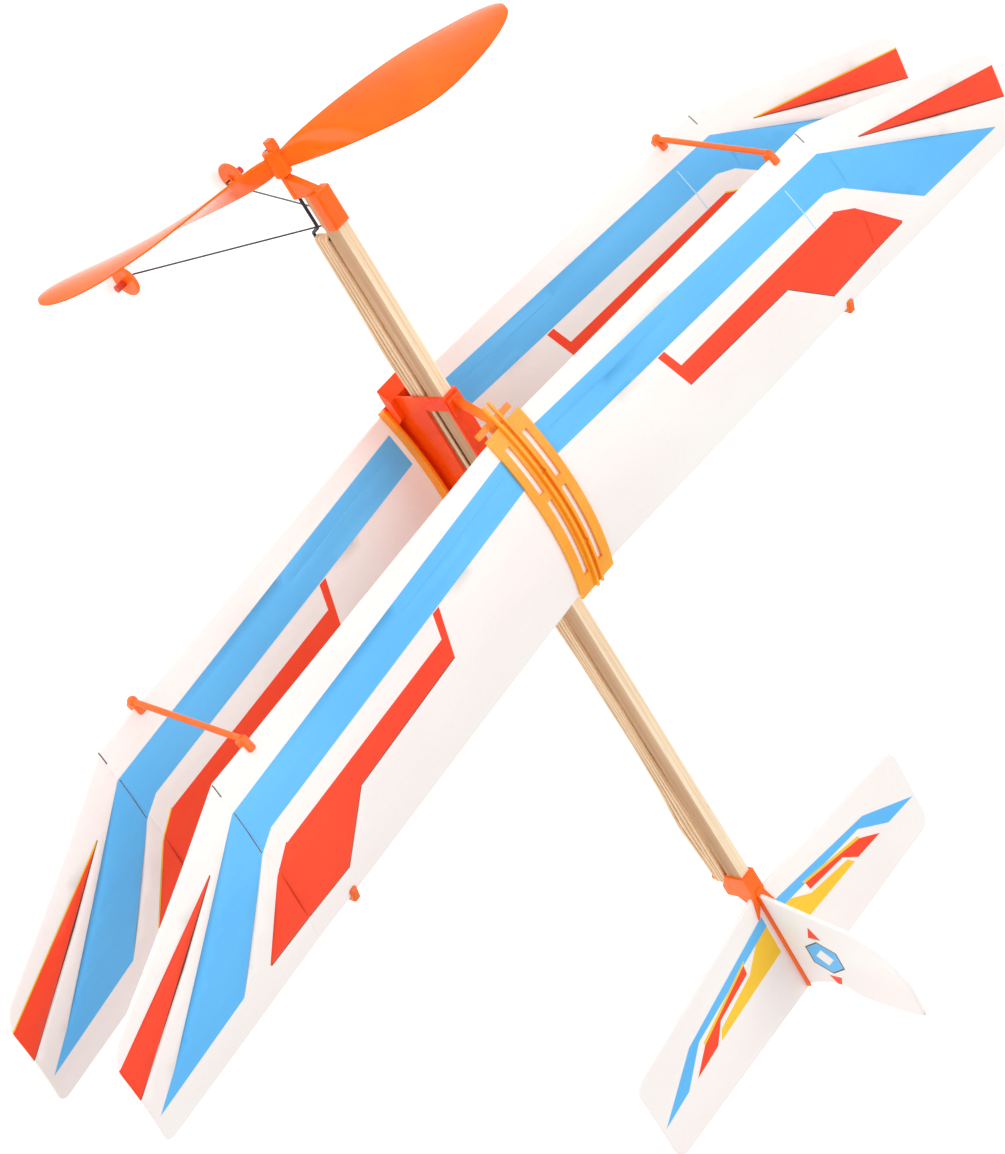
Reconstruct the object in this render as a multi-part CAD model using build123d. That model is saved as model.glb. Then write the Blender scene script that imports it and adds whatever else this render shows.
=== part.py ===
from build123d import *
import os
from math import asin, atan, cos, degrees, pi, radians, sin, sqrt, tan

# Rubber-band biplane on a wooden stick. Millimetres.
# +Z is up, the nose points to -Y, and +X is the aeroplane's left (port) side.
# Everything is drawn with Z = 0 on top of the stick and moved once, at the end,
# so that the origin is the bottom centre of the whole aeroplane's box.

# ---- driving dimensions -------------------------------------------------------------
NOSE_Y = -30.8            # front of the propeller's ear
FIN_TIP_Y = 304.7         # rearmost point of the fin
GROUND_Z = -80.0          # underside of the wheels
MID_Y = (NOSE_Y + FIN_TIP_Y) / 2

STICK_W, STICK_H = 4.0, 6.0
STICK_FRONT, STICK_BACK = -13.0, 257.5
WALL = 0.9                # moulded plastic wall

SHAFT_Z = -11.4           # propeller shaft and rubber motor line
SHAFT_R = 0.5
SHAFT_BORE_R = 0.56
HUB_R = 2.6
HUB_FRONT, HUB_BACK = -27.8, -19.5
PROP_Y = -24.6            # plane of the blades
PROP_R = 74.5
PROP_PITCH = 75.0         # advance of the blade helix in one turn
BLADE_CAMBER = 0.05       # bow of a blade section, as a share of its chord
PROP_REST_DEG = 213.0     # first blade at rest: up on the right-hand side

SLEEVE_FRONT, SLEEVE_BACK = -14.0, -2.3
SLEEVE_LOW = -3.2         # lower edge of the nose cap's sides
KEEL_BACK = -2.1          # back end of the rib that holds the landing gear wire
BEARING_FRONT, BEARING_BACK = -19.0, -12.2
BEARING_R = 1.6

GEAR_R = 0.25             # landing gear wire
GEAR_TOP_Z = -6.95
GEAR_FRONT_Y, GEAR_BACK_Y = -8.2, -2.5
WHEEL_X, WHEEL_Y, WHEEL_Z = 24.2, -3.0, -75.0
WHEEL_R = GROUND_Z * -1 + WHEEL_Z
WHEEL_T = 1.3
WHEEL_BORE_R = 0.3

CHORD = 55.0
CAMBER = 4.9              # rise of the curved foam over its chord
FOAM = 1.5                # foam sheet thickness
SPAN_FLAT = 9.0           # flat centre under the plastic plate
TIP_SWEEP = 22.5
UPPER = dict(y=69.5, z=13.7, crease=140.5, tip=210.0, inner_deg=4.9, tip_deg=6.4)
LOWER = dict(y=62.0, z=-29.3, crease=143.2, tip=213.6, inner_deg=5.4, tip_deg=10.2)
PLATE_W = 7.7             # half width of the wing plates
SLOT_W = 2.0              # width of the plates' slots
PIN_PLACES = (15.0, 41.0)  # pins, behind the leading edge
PIN_R = 1.0
STRUT_SPAN = 124.5
STRUT_R = 0.9

TAIL_Y, TAIL_Z, TAIL_TILT = 259.3, -1.0, -2.0
TAIL_FOAM = 1.3
STAB_HALF, STAB_CHORD, STAB_SWEEP = 74.0, 43.5, 9.8
FIN_BASE, FIN_H = 42.0, 47.0

STRAND = 0.9              # rubber strand width
STRAND_PITCH = 1.4
LOOPS = 4
HOOK_Y = 2.4              # the propeller hook's upright
POST_Y, POST_R = 254.6, 0.8
MOUNT_Y = 250.9           # front edge of the tail mount
STRAND_GAP = 0.3          # free space between the strands and the hook

# ---- helpers ------------------------------------------------------------------------
ARC_R = (CHORD ** 2 / 4 + CAMBER ** 2) / (2 * CAMBER)
ARC_HALF = degrees(asin(CHORD / 2 / ARC_R))


def block(x0, x1, y0, y1, z0, z1):
    """A box between two corners."""
    middle = Pos((x0 + x1) / 2, (y0 + y1) / 2, (z0 + z1) / 2)
    return middle * Box(x1 - x0, y1 - y0, z1 - z0)


def web(points, x0, x1):
    """A flat plate whose side view is the closed line through points (y, z)."""
    outline = Polyline([(x0, y, z) for y, z in points], close=True)
    return extrude(make_face(outline), x1 - x0, dir=(1, 0, 0))


def round_bar(start, end, radius):
    """A straight round bar from start to end."""
    line = Line(start, end)
    return extrude(Plane(origin=line @ 0, z_dir=line % 0) * Circle(radius), line.length)


def wire(points, radius, bend):
    """A round wire through points, with the corners bent to one radius."""
    path = FilletPolyline(*points, radius=bend)
    return sweep(Plane(origin=path @ 0, z_dir=path % 0) * Circle(radius), path)


def arc_point(radius, angle):
    """A point of the wing's curve, from the leading edge's underside."""
    return (0, CHORD / 2 + radius * sin(radians(angle)), CAMBER - ARC_R + radius * cos(radians(angle)))


def strip(low, high, inner, outer):
    """The side view of a curved layer between two heights above the foam's underside."""
    middle = (low + high) / 2
    under = ThreePointArc(*[arc_point(ARC_R + inner, a) for a in (low, middle, high)])
    over = ThreePointArc(*[arc_point(ARC_R + outer, a) for a in (low, middle, high)])
    return make_face([under, Line(under @ 1, over @ 1), over, Line(over @ 0, under @ 0)])


def curved(low, high, inner, outer, x0, x1):
    """A curved layer from x0 to x1."""
    return extrude(Pos(x0, 0, 0) * strip(low, high, inner, outer), x1 - x0, dir=(1, 0, 0))


def along(chord_y):
    """The angle on the wing's curve at a distance behind the leading edge."""
    return degrees(asin((chord_y - CHORD / 2) / ARC_R))


def station(span, crease, inner_deg, tip_deg):
    """Where a point of the flat sheet comes to lie: its x and how far it rises."""
    inner = min(max(span - SPAN_FLAT, 0), crease - SPAN_FLAT)
    tip = max(span - crease, 0)
    x = min(span, SPAN_FLAT) + inner * cos(radians(inner_deg)) + tip * cos(radians(tip_deg))
    return x, inner * sin(radians(inner_deg)) + tip * sin(radians(tip_deg))


def pins(low, high):
    """The two upright pins that hold a wing between its plates."""
    return Part() + [round_bar((0, y, low), (0, y, high), PIN_R) for y in PIN_PLACES]


# ---- wings --------------------------------------------------------------------------
def wing(y, z, crease, tip, inner_deg, tip_deg):
    """A curved foam sheet with raised, swept tips."""
    profile = strip(-ARC_HALF, ARC_HALF, 0, FOAM)
    places = [station(s, crease, inner_deg, tip_deg) for s in (0, SPAN_FLAT, crease, tip)]
    sheet = loft([Pos(x, 0, rise) * profile for x, rise in places], ruled=True)
    crease_x, tip_x = places[2][0], places[3][0]
    back = CHORD + 0.4
    line_start = crease_x - 2 * (tip_x - crease_x) / TIP_SWEEP
    plan = make_face(
        Polyline((-1, -2), (line_start, -2), (tip_x, TIP_SWEEP), (tip_x, back), (-1, back), close=True)
    )
    corners = plan.vertices().sort_by(Axis.X)[-2:].sort_by(Axis.Y)
    plan = fillet([corners[0]], 8)
    plan = fillet([plan.vertices().group_by(Axis.X)[-1].sort_by(Axis.Y)[-1]], 3)
    half = sheet & extrude(Pos(0, 0, -5) * plan, 50)
    whole = half + mirror(half, about=Plane.YZ)
    return Pos(0, y, z) * (whole - pins(-5, 12))


def wing_plate(y, z, under):
    """The slotted plate on one face of a wing, with its double middle rib."""
    reach = ARC_HALF + degrees((-2.5 if under else 1.2) / ARC_R)
    inner, outer = (-WALL, 0) if under else (FOAM, FOAM + WALL)
    plate = curved(-reach, reach, inner, outer, -PLATE_W, PLATE_W)
    for side in (-1, 1):
        for x, first, last in ((4.0, 4, 20), (3.4, 23, 50)):
            low = side * x - SLOT_W / 2
            plate -= curved(along(first), along(last), inner - 1, outer + 1, low, low + SLOT_W)
    edge = (inner - 1.1, inner) if under else (outer, outer + 1.1)
    nose = 0 if under else degrees(7.0 / ARC_R)
    for x in (-1.5, 0.7):
        plate += curved(-reach - nose, reach, edge[0], edge[1], x, x + 0.8)
    return Pos(0, y, z) * (plate - pins(-5, 12))


def strut(side, front):
    """A strut with a clip on the edge of each wing."""
    ends = []
    pieces = []
    for place in (LOWER, UPPER):
        x, rise = station(STRUT_SPAN, place["crease"], place["inner_deg"], place["tip_deg"])
        lift = degrees(asin(CHORD / 2 / ARC_R)) * (1 if front else -1)
        y = place["y"] + (0 if front else CHORD)
        centre = Pos(side * x, y, place["z"] + rise + FOAM / 2)
        clip = centre * Rot(lift, -side * place["inner_deg"], 0) * Box(2.6, 4.8, 3.5)
        pieces.append(chamfer(clip.edges(), 0.5))
        shift = -2.0 if front else 2.0
        ends.append(Vector(side * x, y + shift, place["z"] + rise + FOAM / 2))
    pieces.append(round_bar(ends[0], ends[1], STRUT_R) + Pos(ends[0]) * Sphere(STRUT_R * 1.7))
    return pieces


# ---- fuselage and nose --------------------------------------------------------------
def fuselage_stick():
    """The wooden stick."""
    return block(-STICK_W / 2, STICK_W / 2, STICK_FRONT, STICK_BACK, -STICK_H, 0)


def nose_bearing():
    """A cap on the stick, the shaft's bearing tube below it, and a grooved rib for the gear wire."""
    half = STICK_W / 2 + WALL
    cap = block(-half, half, SLEEVE_FRONT, SLEEVE_BACK, SLEEVE_LOW, WALL)
    cap = chamfer(cap.edges().group_by(Axis.Z)[-1], 0.7)
    keel = block(-1.2, 1.2, SLEEVE_FRONT, KEEL_BACK, -STICK_H - 1.6, 0)
    gusset = web(
        [(-13.8, 0), (-18.8, -10.2), (-18.8, SHAFT_Z), (BEARING_BACK, SHAFT_Z), (-12.4, -7.5)], -1.2, 1.2
    )
    tube = round_bar((0, BEARING_FRONT, SHAFT_Z), (0, BEARING_BACK, SHAFT_Z), BEARING_R)
    body = cap + keel + gusset + tube - fuselage_stick()
    bore = round_bar((0, BEARING_FRONT - 1, SHAFT_Z), (0, BEARING_BACK + 1, SHAFT_Z), SHAFT_BORE_R)
    side = GEAR_R + 0.3
    groove = block(-side, side, GEAR_FRONT_Y - 1.2, KEEL_BACK + 1, -STICK_H - 2, GEAR_TOP_Z + GEAR_R)
    return body - bore - groove


def landing_gear_wire():
    """One bent wire: an axle and leg on each side, and the run held in the nose cap's rib."""
    axle = WHEEL_X + 2.2
    knee = WHEEL_X - 3.0
    run = wire(
        [
            (-axle, WHEEL_Y, WHEEL_Z),
            (-knee, WHEEL_Y, WHEEL_Z),
            (0, GEAR_FRONT_Y, GEAR_TOP_Z),
            (0, GEAR_BACK_Y, GEAR_TOP_Z),
            (knee, WHEEL_Y, WHEEL_Z),
            (axle, WHEEL_Y, WHEEL_Z),
        ],
        GEAR_R,
        0.9,
    )
    for side in (-1, 1):
        head_start = (side * (axle - 0.1), WHEEL_Y, WHEEL_Z)
        run += round_bar(head_start, (side * (axle + 0.6), WHEEL_Y, WHEEL_Z), 0.42)
    return run


def wheel(side):
    """A thin disc with a closed stub on its outer side, snapped over the axle's head."""
    def turned(inner_x, outer_x, radius):
        return round_bar((side * inner_x, WHEEL_Y, WHEEL_Z), (side * outer_x, WHEEL_Y, WHEEL_Z), radius)

    disc = turned(WHEEL_X - WHEEL_T / 2, WHEEL_X + WHEEL_T / 2, WHEEL_R)
    disc = fillet(disc.edges(), 0.45)
    body = disc + turned(WHEEL_X - 1.3, WHEEL_X, 1.3) + turned(WHEEL_X, WHEEL_X + 4.0, 1.15)
    body -= turned(WHEEL_X - 2, WHEEL_X + 2.2, WHEEL_BORE_R)
    return body - turned(WHEEL_X + 1.95, WHEEL_X + 3.0, 0.5)


# ---- propeller ----------------------------------------------------------------------
def blade_section(chord, thick):
    """A thin bowed section, blunt at both edges."""
    half, edge, bow = chord / 2, 0.2 * thick, BLADE_CAMBER * chord
    front = ThreePointArc((-half, -edge), (0, -bow - thick / 2), (half, -edge))
    back = ThreePointArc((half, edge), (0, thick / 2 - bow), (-half, edge))
    return make_face([front, Line(front @ 1, back @ 0), back, Line(back @ 1, front @ 0)])


def blade():
    """One blade along +X: bowed sections on a helix that eases and leans forward at the tip."""
    outline = [
        (1.9, 5.0, 2.4),
        (6, 7.1, 2.2),
        (12, 10.2, 1.9),
        (20, 15.1, 1.6),
        (30, 21.0, 1.4),
        (40, 25.8, 1.2),
        (49, 27.2, 1.1),
        (58, 25.6, 1.0),
        (65, 22.0, 0.9),
        (70, 16.6, 0.8),
        (72.6, 11.5, 0.7),
        (PROP_R - 0.4, 4.5, 0.6),
    ]
    sections = []
    for radius, chord, thick in outline:
        pitch = degrees(atan(PROP_PITCH / (2 * pi * radius))) - 0.22 * max(radius - 47, 0)
        back = 2.0 - 0.0024 * max(radius - 35, 0) ** 2
        swept = -0.8 - 0.03 * max(radius - 50, 0)
        plane = Plane(origin=(radius, back, 0), x_dir=(0, 0, -1), z_dir=(1, 0, 0)).rotated((pitch, 0, 0))
        sections.append(plane * Pos(swept, 0) * blade_section(chord, thick))
    return loft(sections)


def propeller():
    """Two blades on a hub, with an ear on its front face."""
    hub = round_bar((0, HUB_FRONT, SHAFT_Z), (0, HUB_BACK, SHAFT_Z), HUB_R)
    hub = chamfer(hub.edges(), 0.4)
    for turn in (0, 180):
        hub += Pos(0, PROP_Y, SHAFT_Z) * Rot(0, PROP_REST_DEG + turn, 0) * blade()
    ear = block(-1.1, 1.1, NOSE_Y, HUB_FRONT + 0.6, SHAFT_Z + 0.6, SHAFT_Z + 3.4)
    hub += fillet(ear.edges().filter_by(Axis.X).group_by(Axis.Z)[-1], 0.9)
    hub -= round_bar((0, HUB_FRONT - 1, SHAFT_Z), (0, HUB_BACK + 1, SHAFT_Z), SHAFT_BORE_R)
    slot = block(-SHAFT_BORE_R, SHAFT_BORE_R, HUB_FRONT - 1, HUB_FRONT + 1.1, SHAFT_Z - 3, SHAFT_Z)
    return hub - slot


def prop_shaft():
    """The steel wire: bent into the hub's slot in front, and into the rubber's hook behind."""
    front = HUB_FRONT + 0.55
    return wire(
        [
            (0, front, SHAFT_Z - 2.1),
            (0, front, SHAFT_Z),
            (0, -1.6, SHAFT_Z),
            (0, 0.0, SHAFT_Z - 3.4),
            (0, HOOK_Y, SHAFT_Z - 3.4),
            (0, HOOK_Y, SHAFT_Z + 3.2),
            (0, 0.8, SHAFT_Z + 3.2),
        ],
        SHAFT_R,
        0.7,
    )


def rubber_band():
    """Loops of square rubber strand between the two hooks."""
    loops = []
    for level in range(LOOPS):
        z = SHAFT_Z + (level - (LOOPS - 1) / 2) * STRAND_PITCH
        front_in, back_in = SHAFT_R + STRAND_GAP, POST_R + 0.05
        hole = make_hull(
            (Pos(0, HOOK_Y) * Circle(front_in)).edges() + (Pos(0, POST_Y) * Circle(back_in)).edges()
        )
        skin = make_hull(
            (Pos(0, HOOK_Y) * Circle(front_in + STRAND)).edges()
            + (Pos(0, POST_Y) * Circle(back_in + STRAND)).edges()
        )
        loops.append(extrude(Pos(0, 0, z - 0.6) * (skin - hole), 1.2))
    return Compound(loops)


# ---- wing mount and cabane ----------------------------------------------------------
MOUNT_FRONT, MOUNT_BACK = 56.5, 112.0
FIT = 0.05                # clearance of the mount on the stick
CABANE_FEET = (57.5, 101.5)


def wing_mount():
    """The sliding carrier: rings on the stick, a channel for the rubber, a saddle on the wing."""
    gap = STICK_W / 2 + FIT
    half = gap + WALL
    top = FIT + WALL
    floor = LOWER["z"] + FOAM + CAMBER
    walls = block(-half, half, MOUNT_FRONT, MOUNT_BACK, floor - 4, top)
    walls -= block(-gap, gap, MOUNT_FRONT - 1, MOUNT_BACK + 1, floor - 5, FIT)
    walls -= block(-half - 1, half + 1, 61.0, 104.0, -9.8, FIT)
    for y in (MOUNT_FRONT, 106.5):
        walls += block(-half, half, y, y + 4.0 + 1.5 * (y > 100), -STICK_H - FIT - 0.8, top)
        walls -= block(-gap, gap, MOUNT_FRONT - 1, MOUNT_BACK + 1, -STICK_H - FIT, FIT)
    walls -= Pos(0, LOWER["y"], LOWER["z"]) * curved(-30, 30, -30, FOAM + 0.3, -9, 9)
    lower = Pos(0, LOWER["y"], LOWER["z"])
    reach = ARC_HALF + degrees(1.0 / ARC_R)
    saddle = lower * curved(-reach, reach, FOAM, FOAM + 1.0, -5.9, 5.9)
    for side in (-1, 1):
        low = side * 5.45 - 0.45
        saddle += lower * curved(-reach, reach, FOAM, FOAM + 3.8, low, low + 0.9)
    front_y, front_z = LOWER["y"] - 0.9, LOWER["z"]
    lip = web(
        [
            (front_y - 8.5, front_z + 5.9),
            (front_y - 4.5, front_z + 9.0),
            (front_y + 2, front_z + 9.0),
            (front_y + 6, front_z + 4),
            (front_y + 0.6, front_z + 1.9),
            (front_y - 0.9, front_z + 5.9),
        ],
        -5.0,
        5.0,
    )
    lip -= block(-gap, gap, 40, 80, SHAFT_Z - 4, SHAFT_Z + 4)
    return walls + saddle + lip + lower * pins(1.5, CAMBER + 0.5) - lower_wing


def cabane_frame():
    """The carrier of the upper wing: two legs, a curved base and its cross bars."""
    place = Pos(0, UPPER["y"], UPPER["z"])
    base = curved(-ARC_HALF, ARC_HALF, -1.1, 0, -2.6, 2.6)
    base += curved(-ARC_HALF - 3.0, -ARC_HALF, -1.1, 0, -2.6, 2.6)
    base += curved(-ARC_HALF - 3.0, -ARC_HALF - 1.6, -1.1, 0.3, -7.3, 7.3)
    base += curved(ARC_HALF - 1.6, ARC_HALF, -1.1, 0, -7.3, 7.3)
    frame = place * base + place * pins(CAMBER - 3, CAMBER + FOAM)
    top = FIT + WALL
    for foot, head, lift in ((CABANE_FEET[0], 66.6, 12.3), (CABANE_FEET[1], 106.5, 17.2)):
        frame += block(-2.6, 2.6, foot, foot + 6.0, top, top + 0.9)
        leg = [(foot + 0.2, top + 0.4), (foot + 2.2, top + 0.4), (head + 0.9, lift), (head - 0.9, lift)]
        frame += web(leg, -1.1, 1.1)
    return frame - upper_wing


# ---- tail ---------------------------------------------------------------------------
def on_tail(shape):
    """Moves a shape drawn flat from the tail's leading edge to its place on the aeroplane."""
    return Pos(0, TAIL_Y, TAIL_Z) * Rot(TAIL_TILT, 0, 0) * shape


def stabiliser():
    """The flat foam tailplane."""
    plan = make_face(
        Polyline(
            (0, 0),
            (STAB_HALF, STAB_SWEEP),
            (STAB_HALF, STAB_CHORD),
            (-STAB_HALF, STAB_CHORD),
            (-STAB_HALF, STAB_SWEEP),
            close=True,
        )
    )
    plan = fillet(plan.vertices().sort_by(Axis.X)[:2] + plan.vertices().sort_by(Axis.X)[-2:], 4.5)
    return on_tail(extrude(Pos(0, 0, -TAIL_FOAM / 2) * plan, TAIL_FOAM))


def fin():
    """The flat foam fin, with its curved back."""
    def at(a, h):
        return (0, 0.4 + a * FIN_BASE, TAIL_FOAM / 2 + 0.05 + h * FIN_H)

    edge = [
        Line(at(0, 0), at(0.2, 0.6)),
        ThreePointArc(at(0.2, 0.6), at(0.38, 0.88), at(0.72, 1.01)),
        Line(at(0.72, 1.01), at(1.03, 1.0)),
        ThreePointArc(at(1.03, 1.0), at(1.03, 0.72), at(0.98, 0.46)),
        Line(at(0.98, 0.46), at(0.9, 0.38)),
        ThreePointArc(at(0.9, 0.38), at(0.92, 0.18), at(1.0, 0)),
        Line(at(1.0, 0), at(0, 0)),
    ]
    face = make_face(edge)
    return on_tail(extrude(Pos(-TAIL_FOAM / 2, 0, 0) * face, TAIL_FOAM, dir=(1, 0, 0)))


def tail_mount():
    """A cap on the stick's end with the rubber's post, the tailplane's clamp and the fin's rail."""
    half = STICK_W / 2 + WALL
    cheek = [
        (MOUNT_Y, WALL), (MOUNT_Y, -STICK_H - WALL), (255.5, -10.4), (259.4, -10.4), (259.4, WALL)
    ]
    body = web(cheek, -half, half)
    body = body - fuselage_stick()
    body -= block(-half + 0.7, half - 0.7, MOUNT_Y - 1, 259.4 - WALL, -20, -STICK_H - WALL)
    body += web([(258.5, -13.2), (265.0, -7.1), (266.0, -2.9), (258.5, -2.9)], -0.8, 0.8)
    body += round_bar((0, POST_Y, -STICK_H - WALL / 2), (0, POST_Y, SHAFT_Z - 3.4), POST_R)
    body += round_bar((0, POST_Y, SHAFT_Z - 4.2), (0, POST_Y, SHAFT_Z - 3.3), POST_R + 0.5)
    grip = TAIL_FOAM / 2
    spine = block(-1.4, 1.4, -1.6, FIN_BASE + 0.4, -grip - 1.1, -grip)
    rail = block(-1.2, 1.2, -1.6, FIN_BASE + 0.4, grip, grip + 1.5)
    rail -= block(-grip, grip, 0.4, FIN_BASE + 1, grip, grip + 2)
    for side in (-1, 1):
        low, high = (-1.0, 8.0)
        arm = make_face(
            Polyline(
                (side * 0.8, low), (side * 2.9, low), (side * 2.9, 1.5), (side * 4.6, high), (side * 0.8, 3.0),
                close=True,
            )
        )
        spine += extrude(Pos(0, 0, -grip - 1.0) * arm, 1.0)
        rail += extrude(Pos(0, 0, grip) * arm, 0.8)
    rail -= block(-grip, grip, 0.4, FIN_BASE + 1, grip, grip + 2)
    return body + on_tail(spine + rail) - stabiliser() - fin()


# ---- every piece --------------------------------------------------------------------
upper_wing = wing(**UPPER)
lower_wing = wing(**LOWER)
nodes = {
    "fuselage_stick": fuselage_stick(),
    "nose_bearing": nose_bearing(),
    "propeller": propeller(),
    "prop_shaft": prop_shaft(),
    "rubber_band": rubber_band(),
    "landing_gear_wire": landing_gear_wire(),
    "wheel_left": wheel(1),
    "wheel_right": wheel(-1),
    "wing_mount": wing_mount(),
    "lower_wing": lower_wing,
    "lower_wing_plate": wing_plate(LOWER["y"], LOWER["z"], True),
    "cabane_frame": cabane_frame(),
    "upper_wing": upper_wing,
    "upper_wing_plate": wing_plate(UPPER["y"], UPPER["z"], False),
    "tail_mount": tail_mount(),
    "stabiliser": stabiliser(),
    "fin": fin(),
}
for name, side in (("left", 1), ("right", -1)):
    for place, front in (("front", True), ("rear", False)):
        pieces = strut(side, front)
        nodes[f"strut_{place}_{name}"] = pieces[0] + pieces[1] + pieces[2] - upper_wing - lower_wing

os.makedirs("parts", exist_ok=True)
for name, shape in nodes.items():
    export_step(Pos(0, -MID_Y, -GROUND_Z) * shape, f"parts/{name}.step")
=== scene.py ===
import math

import bpy
import numpy as np
from mathutils import Matrix, Vector, noise
from mathutils.geometry import delaunay_2d_cdt


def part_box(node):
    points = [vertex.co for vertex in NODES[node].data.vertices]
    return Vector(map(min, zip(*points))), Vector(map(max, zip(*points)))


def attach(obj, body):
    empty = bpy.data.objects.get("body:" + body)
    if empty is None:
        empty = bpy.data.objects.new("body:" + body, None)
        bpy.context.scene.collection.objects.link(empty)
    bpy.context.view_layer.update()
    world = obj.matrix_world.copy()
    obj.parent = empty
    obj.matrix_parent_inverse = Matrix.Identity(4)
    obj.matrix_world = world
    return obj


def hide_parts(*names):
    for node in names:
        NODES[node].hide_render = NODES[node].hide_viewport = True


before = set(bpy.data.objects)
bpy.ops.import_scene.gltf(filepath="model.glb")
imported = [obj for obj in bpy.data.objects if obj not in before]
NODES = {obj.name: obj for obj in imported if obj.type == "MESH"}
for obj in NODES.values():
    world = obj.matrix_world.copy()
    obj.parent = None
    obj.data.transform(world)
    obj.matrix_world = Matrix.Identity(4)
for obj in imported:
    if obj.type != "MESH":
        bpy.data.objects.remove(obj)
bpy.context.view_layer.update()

MM = 0.001

# ---- where things are, read from the frame --------------------------------------------
# Lengths below are millimetres from the stick's top face: y 0 is 13 behind the stick's front end.
STICK_LOW, STICK_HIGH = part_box("fuselage_stick")
STICK_AHEAD = 13
ORIGIN = Vector((0, STICK_LOW.y + STICK_AHEAD * MM, STICK_HIGH.z))


def row(x, y, z):
    """A point in stick millimetres, as a point of the row frame in metres."""
    return ORIGIN + Vector((x, y, z)) * MM


# ---- camera, lights and floor ---------------------------------------------------------
def camera():
    """A long lens above the port side of the nose, rolled to the left."""
    right = Vector((-0.583792, 0.468541, 0.663066))
    down = Vector((0.669336, 0.739985, 0.066418))
    ahead = Vector((-0.459539, 0.482588, -0.745609))
    data = bpy.data.cameras.new("camera")
    data.lens, data.sensor_width = 91.355, 36
    data.clip_start, data.clip_end = 0.05, 20
    data.dof.use_dof = False
    eye = bpy.data.objects.new("camera", data)
    turn = Matrix((right, -down, -ahead)).transposed().to_4x4()
    eye.matrix_world = Matrix.Translation((0.401098, -0.429620, 0.703250)) @ turn
    bpy.context.scene.collection.objects.link(eye)
    bpy.context.scene.camera = eye


LAMP_AIM = Vector((0, 0, 0.08))


def lamp(name, place, wide, high, power):
    """A soft box aimed at the aeroplane."""
    data = bpy.data.lights.new(name, "AREA")
    data.shape, data.size, data.size_y, data.energy = "RECTANGLE", wide, high, power
    box = bpy.data.objects.new(name, data)
    box.location = place
    box.rotation_euler = (LAMP_AIM - Vector(place)).to_track_quat("-Z", "Y").to_euler()
    box.visible_camera = False
    bpy.context.scene.collection.objects.link(box)


def linear(rgb):
    """A colour given as 0 to 255 screen values, as linear light."""
    return [((c / 255 + 0.055) / 1.055) ** 2.4 if c > 10 else c / 255 / 12.92 for c in rgb] + [1.0]


def studio():
    """A white world, four soft boxes and a bright paper floor just under the wheels."""
    scene = bpy.context.scene
    scene.view_settings.view_transform = "Standard"
    world = bpy.data.worlds.new("studio")
    world.use_nodes = True
    world.node_tree.nodes["Background"].inputs["Color"].default_value = (1, 1, 1, 1)
    world.node_tree.nodes["Background"].inputs["Strength"].default_value = 0.70
    scene.world = world
    lamp("key", (-0.5, -0.35, 1.25), 0.9, 0.9, 4.7)
    lamp("top", (-0.5, 0.5, 1.3), 1.0, 1.0, 2.4)
    lamp("side", (1.0, -0.35, 0.35), 0.7, 0.7, 1.8)
    lamp("front", (0.15, -0.95, 0.26), 0.6, 0.3, 1.8)
    mesh = bpy.data.meshes.new("floor")
    half, low = 6.0, -0.0003
    corners = [(-half, -half, low), (half, -half, low), (half, half, low), (-half, half, low)]
    mesh.from_pydata(corners, [], [(0, 1, 2, 3)])
    floor = bpy.data.objects.new("floor", mesh)
    scene.collection.objects.link(floor)
    paint = Finish("floor_paper", roughness=0.9)
    paint.colour(paint.ramp(paint.noise(3.0), (0, (250, 250, 250)), (1, (254, 254, 254))))
    paint.shader.inputs["Emission Color"].default_value = (1, 1, 1, 1)
    paint.shader.inputs["Emission Strength"].default_value = 0.27
    mesh.materials.append(paint.material)


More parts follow.
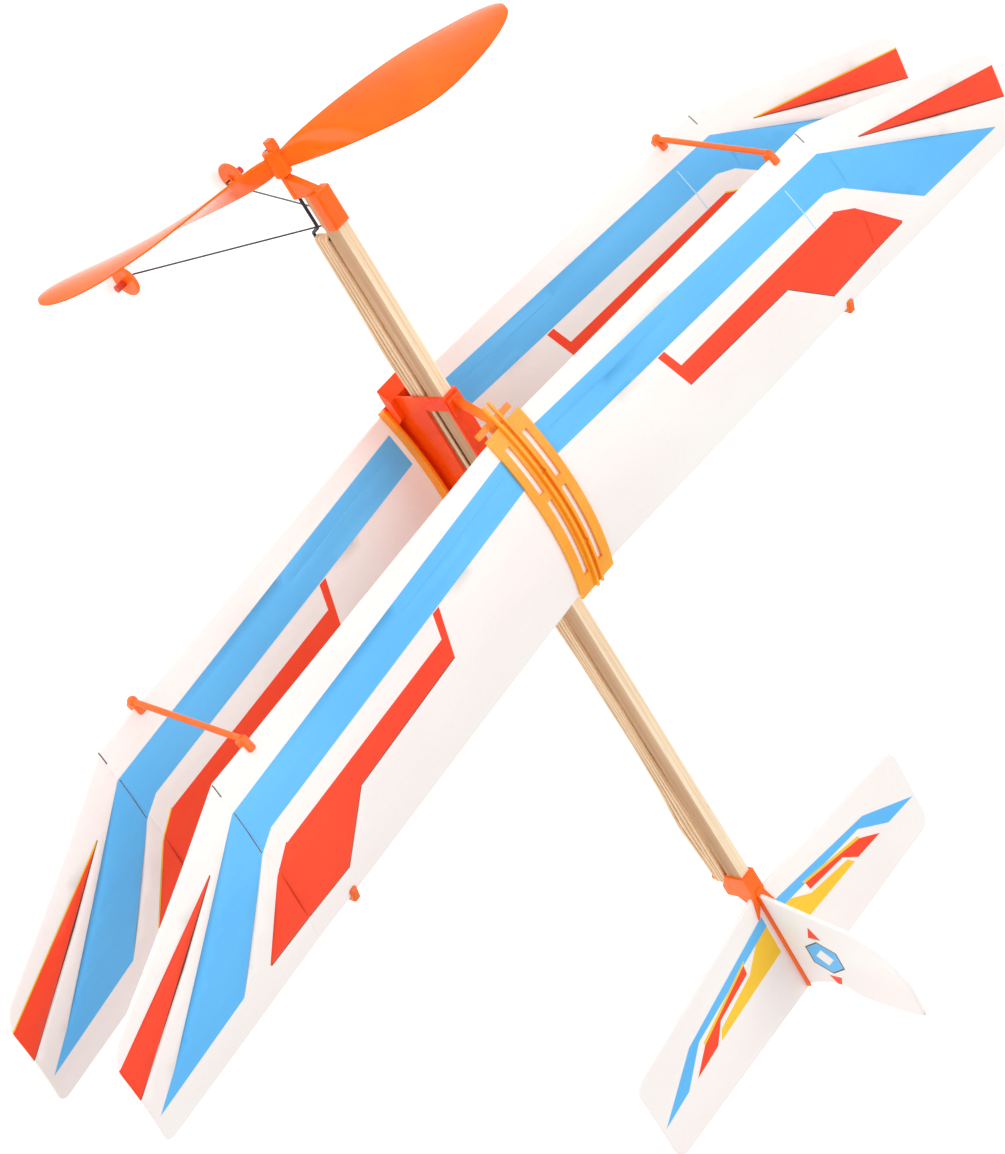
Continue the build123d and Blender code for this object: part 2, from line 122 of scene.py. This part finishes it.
# ---- materials ------------------------------------------------------------------------
class Finish:
    """A material made of nodes, from the outside in: textures, colour, roughness, relief."""

    def __init__(self, name, **fixed):
        self.material = bpy.data.materials.new(name)
        self.material.use_nodes = True
        self.tree = self.material.node_tree
        self.shader = self.tree.nodes["Principled BSDF"]
        for socket, value in fixed.items():
            self.shader.inputs[socket.replace("_", " ").title()].default_value = value
        self.place = self.node("ShaderNodeTexCoord").outputs["Object"]
        self.relief = None

    def node(self, kind, **inputs):
        made = self.tree.nodes.new(kind)
        for name, value in inputs.items():
            self.feed(made.inputs[name.replace("_", " ")], value)
        return made

    def feed(self, socket, value):
        if isinstance(value, bpy.types.NodeSocket):
            self.tree.links.new(value, socket)
        else:
            socket.default_value = value

    def stretched(self, scale):
        """The object's coordinates, scaled by one number or by three."""
        three = [scale] * 3 if isinstance(scale, (int, float)) else scale
        mapping = self.node("ShaderNodeMapping", Vector=self.place)
        mapping.inputs["Scale"].default_value = three
        return mapping.outputs["Vector"]

    def noise(self, scale, detail=3.0, rough=0.55, twist=0.0):
        made = self.node("ShaderNodeTexNoise", Vector=self.stretched(scale), Scale=1.0, Detail=detail)
        made.inputs["Roughness"].default_value = rough
        made.inputs["Distortion"].default_value = twist
        return made.outputs["Fac"]

    def cells(self, scale):
        made = self.node("ShaderNodeTexVoronoi", Vector=self.stretched(scale), Scale=1.0)
        made.feature = "SMOOTH_F1"
        return made.outputs["Distance"]

    def ramp(self, factor, *stops):
        made = self.node("ShaderNodeValToRGB", Fac=factor)
        points = made.color_ramp.elements
        while len(points) < len(stops):
            points.new(0.5)
        for point, (at, colour) in zip(points, stops):
            point.position, point.color = at, linear(colour)
        return made.outputs["Color"]

    def mix(self, factor, first, second, how="MIX"):
        """Two colours mixed: the node's sockets 0, 6 and 7 are the factor and the two colours."""
        made = self.node("ShaderNodeMix")
        made.data_type, made.blend_type = "RGBA", how
        for index, value in ((0, factor), (6, first), (7, second)):
            self.feed(made.inputs[index], value)
        return made.outputs[2]

    def span(self, factor, low, high):
        """The factor, spread between two values."""
        made = self.node("ShaderNodeMapRange", Value=factor)
        made.inputs["To Min"].default_value, made.inputs["To Max"].default_value = low, high
        return made.outputs["Result"]

    def colour(self, value):
        self.feed(self.shader.inputs["Base Color"], value)

    def rough(self, factor, low, high):
        self.feed(self.shader.inputs["Roughness"], self.span(factor, low, high))

    def bump(self, height, depth_mm, strength=1.0):
        """Relief of a given depth, added to what is there already."""
        made = self.node("ShaderNodeBump", Height=height, Strength=strength, Distance=depth_mm * MM)
        if self.relief is not None:
            self.feed(made.inputs["Normal"], self.relief)
        self.relief = made.outputs["Normal"]
        self.feed(self.shader.inputs["Normal"], self.relief)


def foam_finish(name, dark, light, low, high, gloss=0.35, blush=None):
    """Skin of pressed foam: faint beads, slow unevenness, a few scuffs, and pale blush patches."""
    paint = Finish(name)
    paint.shader.inputs["Specular IOR Level"].default_value = gloss
    slow = paint.noise((14, 22, 14), detail=2.0)
    beads = paint.cells(900)
    scuff = paint.noise((25, 420, 60), detail=4.0, rough=0.6)
    tone = paint.ramp(slow, (0.3, dark), (0.7, light))
    if blush is not None:
        broad = paint.noise((7, 30, 7), detail=2.0)
        patches = paint.ramp(broad, (0.45, (0, 0, 0)), (0.75, (160, 160, 160)))
        tone = paint.mix(patches, tone, linear(blush))
    tone = paint.mix(paint.span(scuff, -0.05, 0.16), tone, linear([min(255, c + 22) for c in light]))
    tone = paint.mix(paint.span(beads, 0.0, 0.10), tone, linear([c * 0.9 for c in dark]))
    paint.colour(tone)
    paint.rough(slow, low, high)
    paint.bump(beads, 0.05, 0.35)
    paint.bump(paint.noise(260, detail=2.0), 0.08, 0.35)
    return paint.material


def plastic_finish(name, dark, light, low, high, glow=0.1, gloss=0.4, other=None):
    """Moulded plastic: nearly even colour, a slight orange-peel skin, small flow lines.
    other is (axis, from, to, dark, light): a second tint beyond a distance from the middle, in mm."""
    paint = Finish(name)
    paint.shader.inputs["Subsurface Weight"].default_value = glow
    paint.shader.inputs["Subsurface Radius"].default_value = (1.0, 0.35, 0.1)
    paint.shader.inputs["Subsurface Scale"].default_value = 0.002
    paint.shader.inputs["Specular IOR Level"].default_value = gloss
    slow = paint.noise(55, detail=2.0)
    flow = paint.noise((300, 60, 300), detail=3.0)
    tone = paint.ramp(slow, (0.25, dark), (0.75, light))
    if other is not None:
        axis, start, end, dark_two, light_two = other
        parts = paint.node("ShaderNodeSeparateXYZ", Vector=paint.place)
        away = paint.node("ShaderNodeMath")
        away.operation = "ABSOLUTE"
        paint.feed(away.inputs[0], parts.outputs[axis])
        share = paint.node("ShaderNodeMapRange", Value=away.outputs[0])
        share.inputs["From Min"].default_value = start * MM
        share.inputs["From Max"].default_value = end * MM
        second = paint.ramp(slow, (0.25, dark_two), (0.75, light_two))
        tone = paint.mix(share.outputs["Result"], tone, second)
    streak = linear((255, min(255, light[1] + 34), light[2] + 14))
    paint.colour(paint.mix(paint.span(flow, 0.0, 0.12), tone, streak))
    paint.rough(flow, low, high)
    paint.bump(slow, 0.12, 0.4)
    paint.bump(paint.noise(1300, detail=2.0), 0.02, 0.3)
    return paint.material


def wood_finish():
    """Light wood: long grain, soft growth bands, short dark pores, with a painted lit tone on its top
    and painted shade on its sides.
    """
    paint = Finish("light_wood")
    paint.shader.inputs["Specular IOR Level"].default_value = 0.25
    grain = paint.noise((1500, 14, 1500), detail=5.0, rough=0.6)
    bands = paint.noise((420, 5, 420), detail=2.0, twist=0.6)
    pores = paint.noise((2600, 160, 2600), detail=2.0)
    # painted light and shade: the top's tone is painted lighter as if lit, the sides' tone darker as if
    # shaded
    lit_top_tone = paint.ramp(bands, (0.3, (246, 220, 184)), (0.55, (254, 236, 208)), (0.75, (255, 244, 224)))
    shaded_side_tone = paint.ramp(bands, (0.3, (184, 146, 110)), (0.55, (204, 168, 132)), (0.75, (218, 188, 156)))
    surface = paint.node("ShaderNodeNewGeometry")
    parts = paint.node("ShaderNodeSeparateXYZ", Vector=surface.outputs["Normal"])
    facing = paint.node("ShaderNodeMath")
    facing.operation = "ABSOLUTE"
    paint.feed(facing.inputs[0], parts.outputs["Z"])
    # the surface's normal picks the painted shade tone for the sides and the painted lit tone for the
    # top
    tone = paint.mix(facing.outputs[0], shaded_side_tone, lit_top_tone)
    streak = paint.ramp(grain, (0.35, (206, 166, 126)), (0.6, (255, 250, 240)))
    tone = paint.mix(0.4, tone, streak, "MULTIPLY")
    dots = paint.ramp(pores, (0.28, (160, 116, 82)), (0.36, (255, 255, 255)))
    paint.colour(paint.mix(0.35, tone, dots, "MULTIPLY"))
    paint.rough(grain, 0.5, 0.72)
    paint.bump(grain, 0.06, 0.5)
    return paint.material


def wire_finish():
    """Drawn spring steel: dark, with fine lines and small dull spots."""
    paint = Finish("drawn_steel", metallic=1.0)
    lines = paint.noise((2400, 300, 2400), detail=3.0)
    spots = paint.noise(500, detail=2.0)
    paint.colour(paint.ramp(lines, (0.3, (40, 39, 42)), (0.7, (86, 84, 90))))
    paint.rough(spots, 0.28, 0.5)
    paint.bump(lines, 0.01, 0.5)
    return paint.material


def rubber_finish():
    """Tan strip rubber, powdery, with thin lengthwise streaks."""
    paint = Finish("tan_rubber")
    paint.shader.inputs["Specular IOR Level"].default_value = 0.3
    streak = paint.noise((1600, 30, 1600), detail=3.0)
    powder = paint.noise(700, detail=4.0)
    tone = paint.ramp(streak, (0.3, (200, 156, 112)), (0.7, (250, 218, 178)))
    paint.colour(paint.mix(paint.span(powder, 0.0, 0.3), tone, linear((255, 240, 214))))
    paint.rough(powder, 0.55, 0.8)
    paint.bump(streak, 0.05, 0.4)
    return paint.material


WHITE, BLUE, RED, YELLOW, LINE, PRESSED = range(6)


def foam_paints():
    """The foam's own white and the printing inks, in the order of the names above."""
    return [
        foam_finish("foam_white", (247, 239, 235), (251, 248, 244), 0.42, 0.6, 0.25, (252, 226, 224)),
        foam_finish("print_blue", (86, 180, 245), (102, 192, 250), 0.3, 0.46, 0.3),
        foam_finish("print_red", (252, 60, 26), (255, 76, 38), 0.32, 0.48, 0.25),
        foam_finish("print_yellow", (252, 194, 30), (255, 208, 54), 0.34, 0.5, 0.3),
        foam_finish("print_dark", (84, 66, 60), (112, 88, 76), 0.4, 0.55, 0.3),
        foam_finish("print_pressed", (160, 216, 246), (186, 228, 250), 0.3, 0.45, 0.3),
    ]


# ---- foam sheets ----------------------------------------------------------------------
def mirrored(points):
    """A closed line on the other side of the middle."""
    return [(-s, v) for s, v in reversed(points)]


def rounded(corners, radii, step):
    """A closed outline with its corners rounded and its edges cut into short runs."""
    bend_runs = 8
    loop = []
    count = len(corners)
    for i, radius in enumerate(radii):
        before, here, after = (np.array(corners[(i + k) % count], float) for k in (-1, 0, 1))
        into = (here - before) / np.linalg.norm(here - before)
        out = (after - here) / np.linalg.norm(after - here)
        turn = math.acos(max(-1, min(1, float(into @ out))))
        if radius == 0:
            loop.append(here)
            continue
        back = radius * math.tan(turn / 2)
        side = 1 if into[0] * out[1] - into[1] * out[0] > 0 else -1
        centre = here - into * back + np.array((-into[1], into[0])) * radius * side
        start = here - into * back - centre
        for k in range(bend_runs + 1):
            a = side * turn * k / bend_runs
            swing = np.array(((math.cos(a), -math.sin(a)), (math.sin(a), math.cos(a))))
            loop.append(centre + swing @ start)
    dense = []
    for a, b in zip(loop, loop[1:] + loop[:1]):
        runs = max(1, round(float(np.linalg.norm(b - a)) / step))
        dense += [a + (b - a) * k / runs for k in range(runs)]
    return np.array(dense)


def inset(loop, depth):
    """The outline (counterclockwise) moved inwards."""
    before, after = np.roll(loop, 1, 0), np.roll(loop, -1, 0)
    one, two = loop - before, after - loop
    one /= np.linalg.norm(one, axis=1)[:, None]
    two /= np.linalg.norm(two, axis=1)[:, None]
    normal = np.stack((-one[:, 1] - two[:, 1], one[:, 0] + two[:, 0]), 1)
    size = (normal ** 2).sum(1) / 2
    return loop + normal / size[:, None] * depth


def distance(points, loop, closed=True):
    """How far each point is from a line of straight runs."""
    a = loop if closed else loop[:-1]
    b = np.roll(loop, -1, 0) if closed else loop[1:]
    run = b - a
    best = np.full(len(points), 1e9)
    for start, step in zip(a, run):
        t = np.clip((points - start) @ step / max(step @ step, 1e-12), 0, 1)
        best = np.minimum(best, np.linalg.norm(points - start - t[:, None] * step, axis=1))
    return best


def inside(points, loop):
    """Whether each point is inside a closed outline."""
    found = np.zeros(len(points), bool)
    for (ax, ay), (bx, by) in zip(loop, np.roll(loop, -1, 0)):
        if ay == by:
            continue
        cross = (ay > points[:, 1]) != (by > points[:, 1])
        found ^= cross & (points[:, 0] < (bx - ax) * (points[:, 1] - ay) / (by - ay) + ax)
    return found


def foam_sheet(name, outline, prints, grooves, place, thick, spacing, paints):
    """A foam sheet as one closed mesh. The outline, the print's edges and the pressed lines
    are all cut into its top face; place(s, v, t) bends it into shape."""
    edge_round = min(0.42, thick * 0.3)
    clear_rim = 1.4
    points, edges = [], []

    def add(line, closed):
        first = len(points)
        points.extend(Vector(p) for p in line)
        edges.extend((first + k, first + k + 1) for k in range(len(line) - 1))
        if closed:
            edges.append((len(points) - 1, first))

    add(outline, True)
    for depth in (edge_round * 0.3, edge_round, edge_round * 2.2):
        add(inset(outline, depth), True)
    for _, line in prints:
        add(line, True)
    for line, width, _ in grooves:
        line = np.array(line, float)
        across = line[-1] - line[0]
        across = np.array((-across[1], across[0])) / np.linalg.norm(across)
        for k in (-1, -0.5, 0, 0.5, 1):
            add(line + across * k * width, False)
    low, high = outline.min(0), outline.max(0)
    across, down = np.arange(low[0], high[0], spacing), np.arange(low[1], high[1], spacing * 0.8)
    grid = np.array([(s + (k % 2) * spacing / 2, v) for k, v in enumerate(down) for s in across])
    grid = grid[inside(grid, outline) & (distance(grid, outline) > clear_rim)]
    points.extend(Vector(p) for p in grid)
    verts, _, faces, _, _, _ = delaunay_2d_cdt(points, edges, [], 0, 1e-4)
    flat = np.array([tuple(v) for v in verts])
    tris = np.array([f for f in faces if len(f) == 3])
    centre = flat[tris].mean(1)
    tris = tris[inside(centre, outline)]
    centre = flat[tris].mean(1)
    turn = np.cross(flat[tris[:, 1]] - flat[tris[:, 0]], flat[tris[:, 2]] - flat[tris[:, 0]])
    tris[turn < 0] = tris[turn < 0][:, ::-1]
    kind = np.full(len(tris), WHITE)
    for paint, line in prints:
        kind[inside(centre, np.array(line, float))] = paint
    used = np.unique(tris)
    index = np.full(len(flat), -1)
    index[used] = np.arange(len(used))
    flat, tris = flat[used], index[tris]
    rim = distance(flat, outline)
    drop = edge_round - np.sqrt(np.maximum(edge_round ** 2 - np.maximum(edge_round - rim, 0) ** 2, 0))
    dent = np.zeros(len(flat))
    for line, width, depth in grooves:
        near = distance(flat, np.array(line, float), closed=False) / width
        dent = np.maximum(dent, depth * np.clip(1 - near, 0, 1) ** 0.8)
    top = [place(s, v, thick - d - g) for (s, v), d, g in zip(flat, drop, dent)]
    under = [place(s, v, d) for (s, v), d in zip(flat, drop)]
    count = len(flat)
    ends = {}
    for a, b, c in tris:
        for one, two in ((a, b), (b, c), (c, a)):
            ends[(one, two)] = (two, one) not in ends
            if (two, one) in ends:
                ends[(two, one)] = ends[(one, two)] = False
    sides = [(a, a + count, b + count, b) for (a, b), open_ in ends.items() if open_]
    mesh = bpy.data.meshes.new(name)
    tops, bottoms = tris.tolist(), (tris[:, ::-1] + count).tolist()
    mesh.from_pydata(top + under, [], tops + bottoms + sides)
    for paint in paints:
        mesh.materials.append(paint)
    inks = kind.tolist() + [WHITE] * (len(bottoms) + len(sides))
    mesh.polygons.foreach_set("material_index", inks)
    mesh.polygons.foreach_set("use_smooth", [True] * len(mesh.polygons))
    mesh.update()
    piece = bpy.data.objects.new(name, mesh)
    bpy.context.scene.collection.objects.link(piece)
    return piece


# ---- wings ----------------------------------------------------------------------------
CHORD, CAMBER, FOAM = 55.0, 4.9, 1.5
ARC_R = (CHORD ** 2 / 4 + CAMBER ** 2) / (2 * CAMBER)
SPAN_FLAT, SPAN_CREASE, SPAN_TIP, TIP_SWEEP = 9.0, 140.5, 210.0, 22.5
WINGS = {
    "upper_wing": dict(y=69.5, z=13.7, inner=4.9, tip=6.4, grow=1.0),
    "lower_wing": dict(y=62.0, z=-29.3, inner=5.4, tip=10.2, grow=1.018),
}


def wing_place(y, z, inner, tip, grow, seed):
    """The bend of a wing sheet: the chord's curve, the dihedral, and the raised tip. The surface
    is calm under the plates and slightly wavy further out."""
    def place(s, v, t):
        span = abs(s) * grow
        a = min(max(span - SPAN_FLAT, 0), SPAN_CREASE * grow - SPAN_FLAT)
        b = max(span - SPAN_CREASE * grow, 0)
        x = min(span, SPAN_FLAT) + a * math.cos(math.radians(inner)) + b * math.cos(math.radians(tip))
        rise = a * math.sin(math.radians(inner)) + b * math.sin(math.radians(tip))
        calm = min(1, max(0, (span - 14) / 40))
        wave = 0.22 * calm * noise.noise(Vector((s / 30, v / 22, seed)))
        angle = math.asin((v - CHORD / 2) / (ARC_R + FOAM))
        return row(
            math.copysign(x, s),
            y + CHORD / 2 + (ARC_R + t) * math.sin(angle),
            z + CAMBER - ARC_R + (ARC_R + t) * math.cos(angle) + rise + wave,
        )
    return place


def stripe(points, width):
    """A thin closed band along a line of points, to its right-hand side."""
    line = np.array(points, float)
    run = np.gradient(line, axis=0)
    run /= np.linalg.norm(run, axis=1)[:, None]
    other = line + np.stack((run[:, 1], -run[:, 0]), 1) * width
    return [tuple(p) for p in line] + [tuple(p) for p in other[::-1]]


def wing_prints(edge):
    """The colours printed on a wing's top, as closed lines (span, behind the leading edge).
    edge is the colour that shows past the front of the reds, where the print is out of register."""
    blue = [(7.4, 4.7), (141, 8), (208, 46), (170, 45), (142, 21.5), (135, 18.5), (7.4, 15.5)]
    red = [(53.5, 17), (56.5, 17), (59, 24), (134, 25), (142, 29.5)]
    red += [(158, 46), (122, 47), (106, 32.3), (58.5, 30.8)]
    tip = [(157, 13.5), (215, 28.2), (215, 39.3)]
    prints = [(BLUE, blue), (RED, red), (RED, tip)]
    prints.append((edge, stripe([(134, 25), (142, 29.5), (158, 46)], 0.45)))
    prints.append((edge, stripe([(157, 13.5), (215, 28.2)], 0.45)))
    prints.append((LINE, stripe([(58.5, 31.1), (106, 32.6), (122, 47.3), (158, 46.3)], 0.3)))
    prints.append((LINE, stripe([(157, 13.5), (215, 39.6)], 0.3)))
    prints.append((LINE, stripe([(139.3, -0.6), (139.8, 3.2)], 0.4)))
    both = list(prints)
    both.append((LINE, stripe([(140.2, 8.4), (141.6, 21.0)], 0.3)))
    for paint, line in prints + [(PRESSED, stripe([(123.6, 9), (125.4, 25)], 0.4))]:
        both.append((paint, [(-s * 0.97 - 0.5, v) for s, v in reversed(line)]))
    return both


def wing_grooves():
    """Pressed lines: the tips' folds and the faint line inside the blue."""
    lines = []
    for side in (1, -1):
        lines.append(([(side * SPAN_CREASE, -0.2), (side * SPAN_CREASE, 54.8)], 0.5, 0.1))
        lines.append(([(side * 11, 8.6), (side * 62, 9.9)], 0.3, 0.1))
    return lines


def wing(node, body, paints, seed, edge):
    """A printed wing sheet in place of its CAD solid."""
    front, back, sweep_start = -0.52, CHORD + 0.4, SPAN_CREASE - 1.6
    near = [(-sweep_start, front), (sweep_start, front)]
    tips = [(SPAN_TIP, TIP_SWEEP), (SPAN_TIP, back), (-SPAN_TIP, back), (-SPAN_TIP, TIP_SWEEP)]
    outline = rounded(near + tips, [0, 0, 8, 3, 3, 8], 4.0)
    place = wing_place(seed=seed, **WINGS[node])
    prints, grooves = wing_prints(edge), wing_grooves()
    piece = foam_sheet(node + "_foam", outline, prints, grooves, place, FOAM, 4.2, paints)
    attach(piece, body)
    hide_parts(node)


# ---- tail -----------------------------------------------------------------------------
TAIL_Y, TAIL_Z, TAIL_TILT, TAIL_FOAM = 259.3, -1.0, math.radians(-2.0), 1.3


def on_tail(x, y, z):
    """A point drawn flat from the tail's leading edge, in its place."""
    c, s = math.cos(TAIL_TILT), math.sin(TAIL_TILT)
    return row(x, TAIL_Y + y * c - z * s, TAIL_Z + y * s + z * c)


def stabiliser(paints):
    """The printed tailplane in place of its CAD solid."""
    half, chord, sweep = 74, 43.5, 9.8
    corners = [(0, 0), (half, sweep), (half, chord), (-half, chord), (-half, sweep)]
    outline = rounded(corners, [0, 4.5, 4.5, 4.5, 4.5], 3.0)
    blue = [(3, 8), (50.5, 17), (72.6, 30), (58.7, 28.3), (46.4, 19), (3, 12.4)]
    red = [(18, 14.6), (45.3, 22), (53.6, 28), (41.2, 26.6), (35.5, 21), (18.5, 18)]
    yellow = [(3.2, 11.5), (9, 12.7), (18, 19.3), (37, 23.4), (39.2, 26.6), (19, 25.2), (3.2, 24.2)]
    rim = [(17.0, 13.3), (45, 20.7), (45.3, 22.0), (18, 14.6)]
    prints = []
    for paint, line in ((YELLOW, yellow), (BLUE, blue), (RED, red), (YELLOW, rim)):
        prints += [(paint, line), (paint, mirrored(line))]

    def place(s, v, t):
        wave = 0.12 * min(1, abs(s) / 30) * noise.noise(Vector((s / 18, v / 14, 7.0)))
        return on_tail(s, v, t - TAIL_FOAM / 2 + wave)

    piece = foam_sheet("stabiliser_foam", outline, prints, [], place, TAIL_FOAM, 3.4, paints)
    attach(piece, "frame")
    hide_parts("stabiliser")


def arc_through(a, b, c, runs):
    """Points from a to c on the circle through b."""
    a, b, c = (np.array(p, float) for p in (a, b, c))
    m = np.array((b - a, c - a)) * 2
    centre = np.linalg.solve(m, np.array((b @ b - a @ a, c @ c - a @ a)))
    first = math.atan2(*(a - centre)[::-1])
    swing = math.remainder(math.atan2(*(c - centre)[::-1]) - first, 2 * math.pi)
    radius = float(np.linalg.norm(a - centre))
    angles = [first + swing * k / runs for k in range(runs + 1)]
    return [tuple(centre + radius * np.array((math.cos(g), math.sin(g)))) for g in angles]


def fin(paints):
    """The fin in place of its CAD solid, with a plain mark on one face."""
    base, tall = 42.0, 47.0

    def at(a, h):
        return (a * base, h * tall)

    line = [at(0, 0)] + arc_through(at(1, 0), at(0.92, 0.18), at(0.9, 0.38), 8)
    line += arc_through(at(0.98, 0.46), at(1.03, 0.72), at(1.03, 1.0), 8)
    line += arc_through(at(0.72, 1.01), at(0.38, 0.88), at(0.2, 0.6), 12)
    outline = rounded(line, [0] * len(line), 2.5)

    def regular(x, y, radius, corners):
        angles = [2 * math.pi * k / corners for k in range(corners)]
        return [(x + radius * math.cos(a), y + radius * math.sin(a)) for a in angles]

    def wedge(x, y, length, high):
        return [(x, y - high), (x + length, y), (x, y + high)]

    mark_y, mark_z = 25.1, 15.7
    prints = [
        (RED, wedge(mark_y + 8.6, mark_z, 5.5, 2.6)),
        (RED, wedge(mark_y - 8.6, mark_z, -5.5, 2.6)[::-1]),
        (LINE, regular(mark_y, mark_z, 7.4, 6)),
        (BLUE, regular(mark_y, mark_z, 6.8, 6)),
        (WHITE, regular(mark_y, mark_z, 3.6, 4)),
    ]

    def place(a, h, t):
        return on_tail(t - TAIL_FOAM / 2, 0.4 + a, TAIL_FOAM / 2 + 0.05 + h)

    piece = foam_sheet("fin_foam", outline, prints, [], place, TAIL_FOAM, 2.6, paints)
    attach(piece, "frame")
    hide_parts("fin")


# ---- rubber motor ---------------------------------------------------------------------
HOOK_Y, POST_Y, SHAFT_Z = 2.4, 254.6, -11.4
LOOPS, LOOP_PITCH = 4, 1.4
LENGTH_RUNS, HOOK_RUNS = 120, 12
CHAMFER = 0.62
SECTION = [(1, CHAMFER), (CHAMFER, 1), (-CHAMFER, 1), (-1, CHAMFER)]
SECTION += [(-a, -b) for a, b in SECTION]


def rubber_motor(paint):
    """Four loops of flat strip between the two hooks, the lower ones slack and sagging apart."""
    verts, faces = [], []
    half_wide, half_tall = 0.43, 0.58
    front, back = 1.25, 1.3
    corners = len(SECTION)
    for level in range(LOOPS):
        middle_z = SHAFT_Z + (level - (LOOPS - 1) / 2) * LOOP_PITCH
        line = []
        for k in range(HOOK_RUNS + 1):
            a = math.pi * k / HOOK_RUNS
            line.append((front * math.cos(a), HOOK_Y - front * math.sin(a), 0.0))
        for k in range(1, LENGTH_RUNS):
            f = k / LENGTH_RUNS
            line.append((-(front + (back - front) * f), HOOK_Y + (POST_Y - HOOK_Y) * f, f))
        for k in range(HOOK_RUNS + 1):
            a = math.pi + math.pi * k / HOOK_RUNS
            line.append((back * math.cos(a), POST_Y - back * math.sin(a), 1.0))
        for k in range(1, LENGTH_RUNS):
            f = 1 - k / LENGTH_RUNS
            line.append((front + (back - front) * f, HOOK_Y + (POST_Y - HOOK_Y) * f, f))
        bent = []
        for x, y, f in line:
            free = min(1.0, 12 * f * (1 - f)) if 0 < f < 1 else 0.0
            side = 1 if x > 0 else -1
            slack = 1 - level / (LOOPS - 1)
            sway = noise.noise(Vector((y / 34, side * 3.1, 0.0)))
            lift = noise.noise(Vector((y / 27, side * 5.3 + 9, 0.0)))
            # lowest not far ahead of the tail, and drawn up a little before that
            late = math.exp(-((y - 232) / 16) ** 2) - 0.5 * math.exp(-((y - 196) / 12) ** 2)
            x += free * 0.22 * sway
            sag = free * slack * (0.55 + 1.1 * lift + 1.5 * late)
            bent.append(Vector((x, y, middle_z - max(sag, -0.25 * slack))))
        count = len(bent)
        first = len(verts)
        for k, p in enumerate(bent):
            along = (bent[(k + 1) % count] - bent[k - 1]).normalized()
            out = along.cross(Vector((0, 0, 1))).normalized()
            up = out.cross(along)
            for a, b in SECTION:
                verts.append(row(*(p + out * half_wide * a + up * half_tall * b)))
        for k in range(count):
            here, there = first + k * corners, first + (k + 1) % count * corners
            for j in range(corners):
                n = (j + 1) % corners
                faces.append((here + j, here + n, there + n, there + j))
    mesh = bpy.data.meshes.new("rubber_motor")
    mesh.from_pydata(verts, [], faces)
    mesh.materials.append(paint)
    mesh.polygons.foreach_set("use_smooth", [True] * len(mesh.polygons))
    mesh.validate()
    piece = bpy.data.objects.new("rubber_motor", mesh)
    bpy.context.scene.collection.objects.link(piece)
    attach(piece, "frame")
    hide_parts("rubber_band")


# ---- finishes of the parts that stay as the frame has them ----------------------------
def dress(node, material, soften=0.12):
    """Gives a CAD part its finish, and a small round on its sharp edges."""
    part = NODES[node]
    part.data.materials.clear()
    part.data.materials.append(material)
    if soften:
        cut = part.modifiers.new("edges", "BEVEL")
        cut.width, cut.segments, cut.limit_method = soften * MM, 2, "ANGLE"
        cut.angle_limit = math.radians(40)
        cut.harden_normals = False


camera()
studio()
paints = foam_paints()
wing("upper_wing", "wing_cell", paints, 1.3, RED)
wing("lower_wing", "wing_cell", paints, 4.9, YELLOW)
stabiliser(paints)
fin(paints)
rubber_motor(rubber_finish())
orange = plastic_finish("orange_gloss", (255, 92, 0), (255, 108, 4), 0.22, 0.36, gloss=0.25)
blade = plastic_finish("orange_blade", (255, 92, 0), (255, 106, 2), 0.1, 0.18, gloss=0.2)
strut_orange = plastic_finish("orange_strut", (240, 92, 4), (248, 108, 8), 0.25, 0.38)
amber = plastic_finish("orange_amber", (255, 150, 20), (255, 172, 40), 0.18, 0.3, glow=0.2)
flanges = ("X", 5.0, 5.2, (250, 138, 6), (255, 152, 14))
carrier = plastic_finish("orange_carrier", (255, 66, 0), (255, 78, 2), 0.2, 0.34, other=flanges)
upper_end = ("Z", 82, 92, (240, 136, 20), (250, 150, 30))
cabane = plastic_finish("orange_cabane", (252, 70, 0), (255, 84, 4), 0.2, 0.34, other=upper_end)
stub = ("X", 25.1, 25.4, (196, 26, 18), (216, 36, 24))
wheel = plastic_finish("orange_wheel", (252, 92, 4), (255, 108, 10), 0.24, 0.36, other=stub)
wood, steel = wood_finish(), wire_finish()
dress("fuselage_stick", wood, 0.2)
dress("propeller", blade, 0)
for node in ("nose_bearing", "tail_mount"):
    dress(node, orange)
for node in ("upper_wing_plate", "lower_wing_plate"):
    dress(node, amber)
dress("wing_mount", carrier)
dress("cabane_frame", cabane)
for node in ("strut_front_left", "strut_front_right", "strut_rear_left", "strut_rear_right"):
    dress(node, strut_orange)
for node in ("wheel_left", "wheel_right"):
    dress(node, wheel)
for node in ("prop_shaft", "landing_gear_wire"):
    dress(node, steel, 0)
